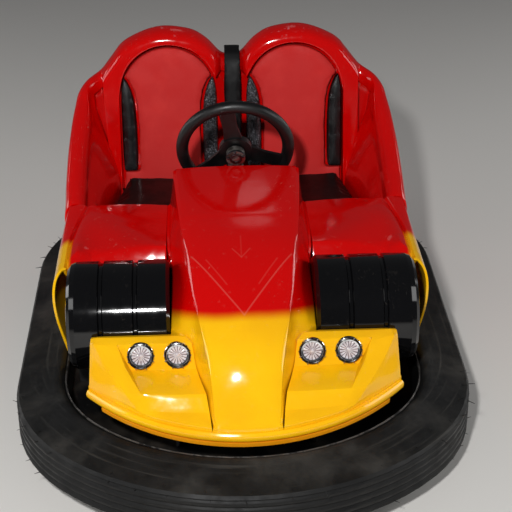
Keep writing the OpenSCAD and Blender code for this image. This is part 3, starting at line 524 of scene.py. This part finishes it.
def spun(name, profile, steps=64):
    """A closed profile of (radius, height) in millimetres, spun once round the z axis."""
    mesh = bpy.data.meshes.new(name)
    mesh.from_pydata([(r / 1000, 0, z / 1000) for r, z in profile],
                     [(k, (k + 1) % len(profile)) for k in range(len(profile))], [])
    obj = bpy.data.objects.new(name, mesh)
    bpy.context.scene.collection.objects.link(obj)
    edit_all(obj)
    bpy.ops.mesh.spin(steps=steps, angle=2 * math.pi, center=(0, 0, 0), axis=(0, 0, 1))
    bpy.ops.mesh.select_all(action="SELECT")
    bpy.ops.mesh.remove_doubles(threshold=0.000002)
    bpy.ops.mesh.normals_make_consistent(inside=False)
    done(obj)
    smooth(obj, 40)
    return obj


ring = spun("ring", ((26.2, -45.8), (27.2, -45.6), (27.6, -45), (27.6, -40), (27, -39.2), (26.2, -39.2)))
washer = spun("washer", ((11, -46.2), (18, -46.2), (18, -47), (16.8, -47.8), (11, -47.8)))
bpy.ops.object.select_all(action="DESELECT")
bpy.ops.mesh.primitive_cylinder_add(vertices=6, radius=0.0040, depth=0.0034, location=(0, 0, -0.0479))
bolt = settle(bpy.context.object, "bolt")
edit_where(bolt, "FACE", lambda co, n: n.z < -0.9)
bpy.ops.mesh.inset(thickness=0.0006)
bpy.ops.transform.translate(value=(0, 0, -0.0005))
done(bolt)
heads = [twin(bolt, f"head_{k}", Matrix.Rotation(math.radians(-97 + 73 * k), 4, "Z") @
              Matrix.Translation((0.0218, 0, 0))) for k in (-1, 0, 1)]
collar = join([ring, washer] + heads, "steering_collar")
collar.data.transform(steering_axis)
bpy.data.objects.remove(bolt)
dress_piece(collar, blued_steel, "root", "steel_grey")
nut = spun("steering_cap_nut",
           ((0.3, 10.2), (15, 10.2), (15, 17), (12.5, 18), (11.5, 22), (7, 25.5), (0.3, 27)), 48)
nut.data.transform(steering_axis)
dress_piece(nut, blued_steel, "steering", "steel_grey")
print("collar and nut", len(collar.data.polygons) + len(nut.data.polygons), "faces")

# %% [markdown]
# The seats are upholstered in vinyl over foam. Red vinyl on the backs is matt with a fine pebble; the black vinyl of
# the cushions and side bolsters has a coarser grain and a soft sheen. Grain is a Voronoi pattern whose cells are as
# wide as the pebbles, 2 to 4 mm, which is as fine as the picture can show. On the bolsters beside the strap, silvery
# specks are painted in as highlights, standing for pebble tops that catch light, so their finish takes the distance
# from the car's middle within which these painted glints are strongest.

# %% Vinyl
def vinyl(name, colour, worn, rough, pebble_mm, depth, shine=0.5, painted_glints_within=None):
    mat, shader, place = finish_of(name, Roughness=rough, IOR=1.5)
    shader.inputs["Specular IOR Level"].default_value = shine
    cells = add(mat, "ShaderNodeTexVoronoi", {"Vector": place, "Scale": 1000 / pebble_mm}).outputs["Distance"]
    wear = ramp(mat, noise(mat, place, 12, 4, 0.6), 0.45, 0.8)
    base = blend_of(mat, wear, ink(colour), ink(worn))
    # Painted highlight on the bolsters: silvery specks for pebble tops catching light, strongest within the given
    # distance of the middle
    if painted_glints_within:
        x = add(mat, "ShaderNodeSeparateXYZ", {0: place}).outputs[0]
        side = add(mat, "ShaderNodeMath", {0: x}, operation="ABSOLUTE").outputs[0]
        glint_zone = ramp(mat, side, painted_glints_within, painted_glints_within + 0.03, 1, 0.18)
        glint_grains = ramp(mat, noise(mat, place, 330, 2, 0.7), 0.52, 0.66)
        share = add(mat, "ShaderNodeMath", {0: glint_zone, 1: glint_grains}, operation="MULTIPLY").outputs[0]
        base = blend_of(mat, ramp(mat, share, 0, 1, 0, 0.8), base, ink("84848C"))
    link(mat, base, shader.inputs["Base Color"])
    link(mat, ramp(mat, noise(mat, place, 18, 3), 0.3, 0.8, rough - 0.1, rough + 0.1), shader.inputs["Roughness"])
    soft = add(mat, "ShaderNodeMath", {0: noise(mat, place, 30, 3), 1: 1.5, 2: cells},
               operation="MULTIPLY_ADD").outputs[0]
    relief(mat, shader, soft, 0.5, depth)
    return mat


vinyl_red = vinyl("vinyl_red", "C92220", "D22C28", 0.7, 2.2, 0.25, 0.35)
vinyl_black = vinyl("vinyl_black_grained", "0A0A0B", "1C1C20", 0.4, 4.0, 1.1, 0.5, 0.11)
vinyl_strap = vinyl("vinyl_black_strap", "050506", "0A0A0B", 0.6, 2.6, 0.4, 0.3)
# The cushion vinyl's faint red tint is a painted reflection of the red shell around it
vinyl_cushion = vinyl("vinyl_black_cushion_painted_red_reflection", "0A0505", "140808", 0.5, 2.6, 0.25, 0.3)
print("four vinyls")

# %% [markdown]
# A cushion is foam under a tight cover: it is crowned, and its sides pull in between the corners. The CAD solid
# gives its place. A copy is shrunk a little, remeshed to even faces, and blown up as cloth with gentle pressure;
# how far each point may move is capped, so the pad stays in its solid's space.

# %% Blow up a pad from its solid
AIR_FRAMES = 20


def pad_from(node, name, shrink, cap, voxel=0.006, pressure=4.0):
    """A soft copy of a CAD solid: evened, shrunk and then blown up. All lengths are in metres."""
    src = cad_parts[node]
    pad = bpy.data.objects.new(name, src.data.copy())
    bpy.context.scene.collection.objects.link(pad)
    edit_all(pad)
    bpy.ops.mesh.remove_doubles(threshold=0.00005)
    done(pad)
    mod = pad.modifiers.new("even", "REMESH")
    mod.mode = "VOXEL"
    mod.voxel_size = voxel
    bpy.ops.object.modifier_apply(modifier="even")
    edit_all(pad)
    bpy.ops.transform.shrink_fatten(value=-shrink)
    bpy.ops.mesh.vertices_smooth(factor=0.5, repeat=4)
    done(pad)
    blow_up(pad, cap, pressure)
    mod = pad.modifiers.new("fine", "SUBSURF")
    mod.levels = mod.render_levels = 1
    bpy.ops.object.modifier_apply(modifier="fine")
    bpy.ops.object.shade_smooth()
    print(name, len(pad.data.polygons), "faces")
    return pad


def blow_up(pad, cap, pressure):
    """Gentle air pressure for a few frames; no point may move further than the cap."""
    start = np.array([v.co[:] for v in pad.data.vertices])
    mod = pad.modifiers.new("air", "CLOTH")
    s = mod.settings
    s.quality = 5
    s.mass = 0.3
    s.tension_stiffness = s.compression_stiffness = 12
    s.bending_stiffness = 0.6
    s.use_pressure = True
    s.uniform_pressure_force = pressure
    s.effector_weights.gravity = 0
    mod.point_cache.frame_start, mod.point_cache.frame_end = 1, AIR_FRAMES
    for f in range(1, AIR_FRAMES + 1):
        bpy.context.scene.frame_set(f)
    graph = bpy.context.evaluated_depsgraph_get()
    blown = pad.evaluated_get(graph).to_mesh()
    end = np.array([v.co[:] for v in blown.vertices])
    pad.evaluated_get(graph).to_mesh_clear()
    pad.modifiers.remove(mod)
    bpy.context.scene.frame_set(1)
    move = end - start
    size = np.linalg.norm(move, axis=1, keepdims=True)
    capped = start + move * np.minimum(1, cap / np.maximum(size, 1e-9))
    pad.data.vertices.foreach_set("co", capped.astype(np.float32).ravel())
    pad.data.update()
    print(pad.name, "moved up to", round(float(size.max()) * 1000, 1), "mm, capped at", cap * 1000)


# %% [markdown]
# The seats come in mirrored pairs, so one cushion and one back pad are blown up and the other two are their mirror
# images. The cushions may swell 10 mm, the tight backs only 3.5 mm.

# %% Seat cushions and back pads
cushion_r = pad_from("cushion_right", "cushion_right_pad", 0.010, 0.010)
cushion_l = twin(cushion_r, "cushion_left_pad", MIRROR)
back_r = pad_from("back_pad_right", "back_pad_right_cover", 0.0035, 0.0035, 0.005)
back_l = twin(back_r, "back_pad_left_cover", MIRROR)
for pad, mat, slot, node, fill in (
        (cushion_r, vinyl_cushion, "vinyl_black", "cushion_right", 0.7),
        (cushion_l, vinyl_cushion, "vinyl_black", "cushion_left", 0.7),
        (back_r, vinyl_red, "vinyl_red", "back_pad_right", 0.8),
        (back_l, vinyl_red, "vinyl_red", "back_pad_left", 0.8)):
    dress_piece(pad, mat, "root", slot, node)

# %% [markdown]
# The bolsters are the narrow black rolls each side of a back, and the strap between the two seats is black vinyl
# too, a blacker and duller one. They are made in the same way, with a smaller cap because they are thin.

# %% Bolsters and centre strap
bolster_set = pad_from("bolsters", "bolster_covers", 0.0035, 0.0035, 0.005)
strap = pad_from("centre_spine", "centre_strap_cover", 0.003, 0.003, 0.005)
for pad, mat, node in ((bolster_set, vinyl_black, "bolsters"), (strap, vinyl_strap, "centre_spine")):
    dress_piece(pad, mat, "root", "vinyl_black", node)

# %% [markdown]
# The lamps are chromed bezels with clear moulded lenses, and behind each lens is a bright reflector. What catches
# the eye is the ring of about fifteen petals, so one lens is modelled with them and copied to all four places.

# %% Lamp finishes
chrome, shader, place = finish_of("chrome_plated_abs", Metallic=1.0, Roughness=0.06)
link(chrome, blend_of(chrome, ramp(chrome, noise(chrome, place, 90, 4), 0.55, 0.8, 0, 0.4), ink("E6E8EA"),
                      ink("9C968C")), shader.inputs["Base Color"])
link(chrome, ramp(chrome, noise(chrome, place, 60, 3), 0.3, 0.8, 0.04, 0.16), shader.inputs["Roughness"])
dress(chrome, "lamp_bezels")


def lens_finish(name, bright, dull):
    mat, shader, place = finish_of(name, Roughness=0.08, IOR=1.58, Coat_Weight=0.5)
    link(mat, blend_of(mat, ramp(mat, noise(mat, place, 120, 4), 0.4, 0.75), ink(bright), ink(dull)),
         shader.inputs["Base Color"])
    link(mat, ramp(mat, noise(mat, place, 200, 3), 0.4, 0.8, 0.06, 0.2), shader.inputs["Roughness"])
    relief(mat, shader, noise(mat, place, 350, 2), 0.2, 0.5)
    return mat


lens_clear = lens_finish("polycarbonate_lens", "E2DCE0", "B4A6AC")
# The groove finish is darker: painted shade for the lens's grooves
lens_groove = lens_finish("polycarbonate_lens_painted_groove_shade", "6E5A5C", "4A3A3C")

dark_ring, shader, place = finish_of("pvc_black_gasket", Roughness=0.22, IOR=1.5)
link(dark_ring, blend_of(dark_ring, ramp(dark_ring, noise(dark_ring, place, 150, 3), 0.4, 0.8), ink("050505"),
                         ink("151515")), shader.inputs["Base Color"])
relief(dark_ring, shader, noise(dark_ring, place, 400, 2), 0.2, 0.3)

# %% [markdown]
# A lens is a low dome, pressed with sixteen petals round a small boss. A disc of 64 corners is inset ring by ring and
# lifted into the dome; every fourth corner then drops to make a groove, and one subdivision rounds the petals. Its
# rim turns down into the bezel. The faces in the grooves get a darker finish, painted shade for the grooves, where
# no reflector shines through them. The lamp leans back with the panel that carries it.

# %% One lens with petals
LEAN = math.atan2(18, 66)
LAMP_X, LAMP_Y, LAMP_Z = (-0.258, -0.167, 0.167, 0.258), -0.527, 0.3856
PETALS = 16
stand = [Matrix.Translation((x, LAMP_Y, LAMP_Z)) @ Matrix.Rotation(math.pi / 2 - LEAN, 4, "X") for x in LAMP_X]
bpy.ops.object.select_all(action="DESELECT")
bpy.ops.mesh.primitive_circle_add(vertices=4 * PETALS, radius=0.0264, fill_type="NGON", location=(0, 0, 0.0086))
lens = bpy.context.object
edit_all(lens, "FACE")
for inset, lift in ((0.0012, 0.0014), (0.0040, 0.0012), (0.0070, 0.0014), (0.0070, 0.0008), (0.0030, 0.0002),
                    (0.0006, 0.0012), (0.0020, 0.0004)):
    bpy.ops.mesh.inset(thickness=inset)
    bpy.ops.transform.translate(value=(0, 0, lift))
bpy.ops.mesh.poke()
edit_where(lens, "VERT", lambda co, n: 0.0050 < co.xy.length < 0.0260
           and round(math.degrees(math.atan2(co.y, co.x)) / (90 / PETALS)) % 4 == 0)
bpy.ops.transform.translate(value=(0, 0, -0.0018))
edit_all(lens, "EDGE")
bpy.ops.mesh.select_all(action="DESELECT")
bpy.ops.mesh.select_mode(type="EDGE")
bpy.ops.mesh.select_non_manifold()
for scale, drop in ((0.855, -0.0013), (1.0, -0.0062)):
    bpy.ops.mesh.extrude_region_move(TRANSFORM_OT_translate={"value": (0, 0, drop)})
    bpy.ops.transform.resize(value=(scale, scale, 1), center_override=(0, 0, 0))
bpy.ops.mesh.edge_face_add()
bpy.ops.mesh.select_all(action="SELECT")
bpy.ops.mesh.normals_make_consistent(inside=False)
done(lens)
mod = lens.modifiers.new("petals", "SUBSURF")
mod.levels = mod.render_levels = 1
bpy.ops.object.modifier_apply(modifier="petals")
smooth(lens, 25)
for finish in (lens_clear, lens_groove):
    lens.data.materials.append(finish)
for face in lens.data.polygons:
    c = face.center
    off = (math.degrees(math.atan2(c.y, c.x)) / (360 / PETALS) + 0.5) % 1 - 0.5
    face.material_index = int(0.0045 < c.xy.length < 0.0245 and abs(off) < 0.13)
lens_set = join([twin(lens, f"lens_{k}", m) for k, m in enumerate(stand)], "lamp_petal_lenses")
bpy.data.objects.remove(lens)
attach(lens_set, "root")
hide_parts("lamp_lenses")
print("lenses", len(lens_set.data.polygons), "faces")

# %% [markdown]
# Between lens and bezel lies a black gasket, and eight chromed claws reach over it to hold the lens. The gasket is
# a small profile spun into a ring. A claw is a thin block, narrowed at its inner end and bevelled.

# %% Gasket and claws
gasket = spun("gasket", ((27.2, 9.2), (27.8, 12.2), (30, 13.2), (32.4, 12.4), (32.8, 10.6), (30, 12.1)))
bpy.ops.object.select_all(action="DESELECT")
bpy.ops.mesh.primitive_cube_add(size=0.002, location=(0.0300, 0, 0.0133))
claw = settle(bpy.context.object, "claw")
edit_all(claw)
bpy.ops.transform.resize(value=(5, 1.3, 1), center_override=(0.0300, 0, 0.0133))
done(claw)
edit_where(claw, "VERT", lambda co, n: co.x < 0.030)
bpy.ops.transform.resize(value=(1, 0.55, 0.7), center_override=(0.0300, 0, 0.0128))
done(claw)
mod = claw.modifiers.new("edge", "BEVEL")
mod.width = 0.0003
mod.segments = 2
bpy.ops.object.modifier_apply(modifier="edge")
gaskets = join([twin(gasket, f"gasket_{k}", m) for k, m in enumerate(stand)], "lamp_gaskets")
claws = join([twin(claw, f"claw_{k}_{turn}", m @ Matrix.Rotation(math.radians(22.5 + 45 * turn), 4, "Z"))
              for k, m in enumerate(stand) for turn in range(8)], "lamp_claws")
for part in (gasket, claw):
    bpy.data.objects.remove(part)
dress_piece(gaskets, dark_ring, "root", "rubber_black")
dress_piece(claws, chrome, "root", "lamp_chrome")
print("gasket and claws", len(gaskets.data.polygons) + len(claws.data.polygons), "faces")

# %% [markdown]
# New tyres carry vent hairs: thin rubber whiskers left by the mould's air holes. The bumper still has many, 10 to
# 20 mm long, in rows along its edge. One hair is a tapered bent cone, and copies are set round the oval.

# %% Vent hairs
corner_x = RING_B - CORNER_R
corner_y = END_Y + math.sqrt((END_R - CORNER_R) ** 2 - corner_x ** 2)
meet = math.atan2(corner_y - END_Y, corner_x)


def ring_point(way, inset):
    """Point and outward normal on the bumper's plan; way runs from 0 to 1 round the quarter and its mirrors."""
    total = 2 * math.pi * way
    sx, sy = (1 if math.cos(total) >= 0 else -1), (1 if math.sin(total) >= 0 else -1)
    a = math.atan2(abs(math.sin(total)), abs(math.cos(total)))
    if a <= meet:
        p = (corner_x + (CORNER_R - inset) * math.cos(a), corner_y + (CORNER_R - inset) * math.sin(a))
    else:
        p = ((END_R - inset) * math.cos(a), END_Y + (END_R - inset) * math.sin(a))
    return Vector((sx * p[0], sy * p[1], 0)), Vector((sx * math.cos(a), sy * math.sin(a), 0))


bpy.ops.object.select_all(action="DESELECT")
bpy.ops.mesh.primitive_cone_add(vertices=5, radius1=0.0016, radius2=0.0006, depth=0.020, location=(0, 0, 0.010))
hair = settle(bpy.context.object, "hair")
edit_where(hair, "VERT", lambda co, n: co.z > 0.015)
bpy.ops.transform.translate(value=(0.005, 0, -0.001))
done(hair)
rng = random.Random(7)
hairs = []
for row_inset, row_z, count in ((0.0, 0.186, 44), (0.004, 0.090, 44), (0.02, 0.197, 36)):
    for k in range(count):
        p, n = ring_point((k + rng.uniform(-0.2, 0.2)) / count, row_inset + 0.001)
        lean_out = n + Vector((0, 0, rng.uniform(-0.2, 0.5)))
        turn = Vector((0, 0, 1)).rotation_difference(lean_out.normalized()).to_matrix().to_4x4()
        spin = Matrix.Rotation(rng.uniform(0, 6.28), 4, "Z")
        size = Matrix.Scale(rng.uniform(0.35, 1.0), 4)
        hairs.append(twin(hair, f"hair_{len(hairs)}", Matrix.Translation((p.x, p.y, row_z)) @ turn @ spin @ size))
bpy.data.objects.remove(hair)
vent_hairs = join(hairs, "bumper_vent_hairs")
dress_piece(vent_hairs, bumper_rubber, "root", "rubber_black")
print("vent hairs", len(hairs))

# %% [markdown]
# A low camera sees the running gear. The road tyres get three grooves round the tread, the hubs their wheel bolts,
# and the frame the bolts that hold the floor plate. A bolt head is a hexagon with a slightly raised crown.

# %% Grooved road tyres and bolts
WHEEL_TURN = Matrix.Rotation(math.pi / 2, 4, "Y")
# Body, centre in metres and the side that carries the bolts
HUBS = {"drive": ("drive_wheel", (0, -0.330, 0.100), -1),
        "rear_left": ("rear_wheel_left", (-0.330, 0.430, 0.100), -1),
        "rear_right": ("rear_wheel_right", (0.330, 0.430, 0.100), 1)}
tread = [(100 if up else 97, z + dz) for z in (-6, 0, 6)
         for dz, up in ((-1, True), (-0.5, False), (0.5, False), (1, True))]
tyre = spun("tyre", [(66, -23), (90, -25), (97, -20), (100, -11)] + tread +
            [(100, 11), (97, 20), (90, 25), (66, 23)], 44)
bpy.ops.object.select_all(action="DESELECT")
bpy.ops.mesh.primitive_cylinder_add(vertices=6, radius=0.0072, depth=0.005, location=(0, 0, 0.0025))
head = settle(bpy.context.object, "head")
edit_where(head, "FACE", lambda co, n: n.z > 0.9)
bpy.ops.mesh.inset(thickness=0.0012)
bpy.ops.transform.translate(value=(0, 0, 0.0009))
done(head)
for hub, (body, centre, side) in HUBS.items():
    at = Matrix.Translation(centre)
    old = "drive_tyre" if hub == "drive" else hub.replace("rear", "rear_tyre")
    dress_piece(twin(tyre, old + "_grooved", at @ WHEEL_TURN), road_rubber, body, "road_rubber", old)
    bolts = [twin(head, f"{hub}_bolt_{k}", at @ Matrix.Rotation(2 * math.pi * k / 5, 4, "X") @
                  Matrix.Translation((side * 0.008, 0, 0.040)) @ Matrix.Rotation(side * math.pi / 2, 4, "Y"))
             for k in range(5)]
    dress_piece(join(bolts, hub + "_wheel_bolts"), turned_steel, body, "steel_grey")
under = [twin(head, f"frame_bolt_{x}_{y}", Matrix.Translation((x, y, 0.069)) @ Matrix.Rotation(math.pi, 4, "X"))
         for x, ys in ((0.232, (-0.59, -0.12, 0.18, 0.59)), (0.36, (-0.09, 0.30))) for y in ys]
under += [twin(bolt, bolt.name + "_left", MIRROR) for bolt in list(under)]
dress_piece(join(under, "frame_bolts"), turned_steel, "root", "steel_grey")
for part in (tyre, head):
    bpy.data.objects.remove(part)
print("road tyres grooved, bolts fitted")

# %% [markdown]
# Feet need grip: the mat is moulded with ribs across the footwell, and the pedal's plate carries rubber bars.

# %% Mat ribs and pedal bars
bpy.ops.object.select_all(action="DESELECT")
bpy.ops.mesh.primitive_cube_add(size=0.002, location=(0, 0, 0))
bar = settle(bpy.context.object, "bar")
mod = bar.modifiers.new("edge", "BEVEL")
mod.width = 0.0005
mod.segments = 2
pick(bar)
bpy.ops.object.modifier_apply(modifier="edge")
smooth(bar)
RIBS, RIB_STEP, MAT_TOP = 14, 0.022, 0.1082
ribs = [twin(bar, f"rib_{k}", Matrix.Translation((0, -0.120 + RIB_STEP * k, MAT_TOP)) @
             Matrix.Diagonal((362, 2.5, 1.2, 1))) for k in range(RIBS)]
PEDAL_TURN = Matrix.Translation((-0.255, -0.070, 0.114)) @ Matrix.Rotation(math.radians(145), 4, "X")
bars = [twin(bar, f"bar_{k}", PEDAL_TURN @ Matrix.Translation((0, 0.016 + 0.0155 * k, -0.0085)) @
             Matrix.Diagonal((36, 3, 1.6, 1))) for k in range(6)]
bpy.data.objects.remove(bar)
dress_piece(join(ribs, "floor_mat_ribs"), mat_rubber, "root", "rubber_black")
dress_piece(join(bars, "pedal_bars"), mat_rubber, "root", "rubber_black")
print(len(ribs), "ribs and", len(bars), "bars")

# %% [markdown]
# The stage is a plain pale floor. The key is a small lamp over the camera, as the photographer's flash was, so the
# gloss shows short bright glints. Wide weak lamps at the sides and behind fill the shadows, and one faint lamp far
# behind is there for the soft patch that the bonnet mirrors.

# %% Floor and light
bpy.ops.object.select_all(action="DESELECT")
bpy.ops.mesh.primitive_plane_add(size=24, location=(0, 4, 0))
floor = bpy.context.object
floor.name = "floor"
floor_mat = bpy.data.materials.new("floor_pale")
floor_mat.use_nodes = True
floor_shader = floor_mat.node_tree.nodes["Principled BSDF"]
floor_shader.inputs["Base Color"].default_value = ink("ECE9E4")
floor_shader.inputs["Roughness"].default_value = 0.55
floor.data.materials.append(floor_mat)

world = bpy.data.worlds.new("studio")
bpy.context.scene.world = world
world.use_nodes = True
world.node_tree.nodes["Background"].inputs["Color"].default_value = ink("E4E6EA")
world.node_tree.nodes["Background"].inputs["Strength"].default_value = 0.09
# Name, place, what it points at, size, all in metres, and power in watts
STUDIO = (("key", (-0.45, -3.35, 2.6), (0, 0, 0.4), (0.18, 0.18), 104),
          ("left", (-3.2, -0.9, 1.9), (0, 0, 0.3), (2, 1.6), 27),
          ("right", (3.2, -0.9, 1.9), (0, 0, 0.3), (2, 1.6), 27),
          ("rear_left", (-4.0, 2.0, 1.2), (0, 0, 0.4), (2, 1.6), 22),
          ("rear_right", (4.0, 2.0, 1.2), (0, 0, 0.4), (2, 1.6), 22),
          ("patch", (0.24, 2.91, 3.23), (0.03, -0.1, 0.61), (0.45, 0.85), 0.5))
for name, place, aim, size, power in STUDIO:
    light = bpy.data.lights.new(name, "AREA")
    light.shape = "ELLIPSE"
    light.size, light.size_y = size
    light.energy = power
    lamp = bpy.data.objects.new(name, light)
    bpy.context.scene.collection.objects.link(lamp)
    lamp.location = place
    lamp.rotation_euler = (Vector(aim) - Vector(place)).to_track_quat("-Z", "Y").to_euler()
bpy.context.scene.view_settings.view_transform = "Standard"
print(len(STUDIO), "lamps and a pale floor")
